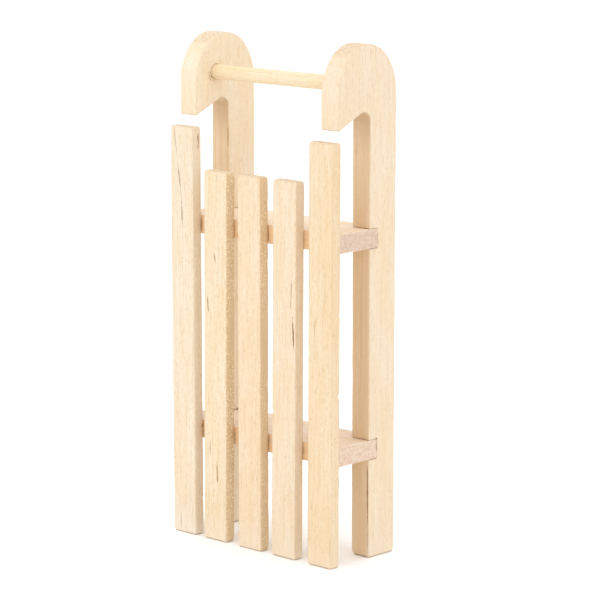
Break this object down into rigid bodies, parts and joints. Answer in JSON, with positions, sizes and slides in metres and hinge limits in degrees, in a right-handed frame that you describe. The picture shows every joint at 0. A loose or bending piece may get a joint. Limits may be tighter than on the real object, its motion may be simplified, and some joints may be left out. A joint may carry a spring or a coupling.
{
  "type": "miniature wooden sledge",
  "caption": "Small craft sledge of plain glued wood: cane-shaped runners with arched heads, crossbars let into them, a slatted deck and a round tow rod.",
  "frame": {"origin": "middle of the footprint, on the surface that the sledge stands on with its tail down", "axes": "+Z runs from the tail to the arched heads; the deck faces -Y and the soles of the runners face +Y; +X is the right-hand side seen from the deck"},
  "size_m": [0.0583, 0.0248, 0.134],
  "materials": {
    "runner_wood": "raw sawn pale hardwood, unfinished",
    "crossbar_wood": "raw sawn pale hardwood, unfinished",
    "slat_wood": "raw sawn pale hardwood, unfinished, with fine dark streaks",
    "rod_wood": "raw fibrous rod like a skewer, unfinished"
  },
  "bodies": {
    "root": {"left_runner": "runner_wood", "right_runner": "runner_wood", "rear_crossbar": "crossbar_wood", "front_crossbar": "crossbar_wood", "left_outer_slat": "slat_wood", "left_inner_slat": "slat_wood", "centre_slat": "slat_wood", "right_inner_slat": "slat_wood", "right_outer_slat": "slat_wood", "tow_rod": "rod_wood"}
  },
  "joints": []
}
